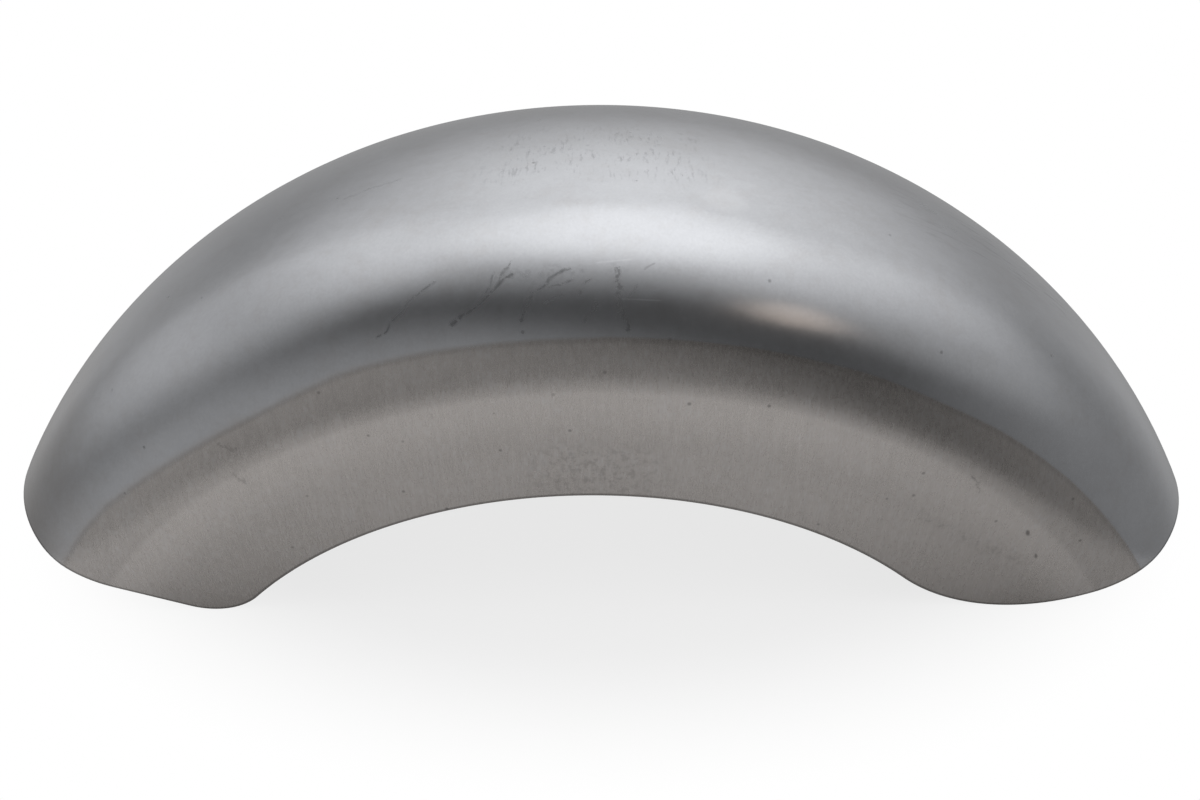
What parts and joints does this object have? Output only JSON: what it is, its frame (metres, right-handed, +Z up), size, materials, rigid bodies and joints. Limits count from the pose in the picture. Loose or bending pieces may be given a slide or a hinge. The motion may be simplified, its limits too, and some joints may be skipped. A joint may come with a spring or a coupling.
{
  "type": "motorcycle rear fender",
  "caption": "Bare steel rear fender pressed from one sheet: a rounded crown flows through two shoulders into flat side skirts, cut to an arc over the wheel, with one blunt and one rounded end.",
  "frame": {"origin": "centre of the bounding box at the ground plane, where the four skirt tips stand", "axes": "+X along the fender from the blunt end to the round end, +Y across the wheel parallel to its axle, +Z up"},
  "size_m": [0.5628, 0.2, 0.1894],
  "materials": {
    "bare_steel": "bare pressed steel sheet, smooth on the crown and grained on the skirts"
  },
  "bodies": {
    "root": {"fender": "bare_steel"}
  },
  "joints": []
}
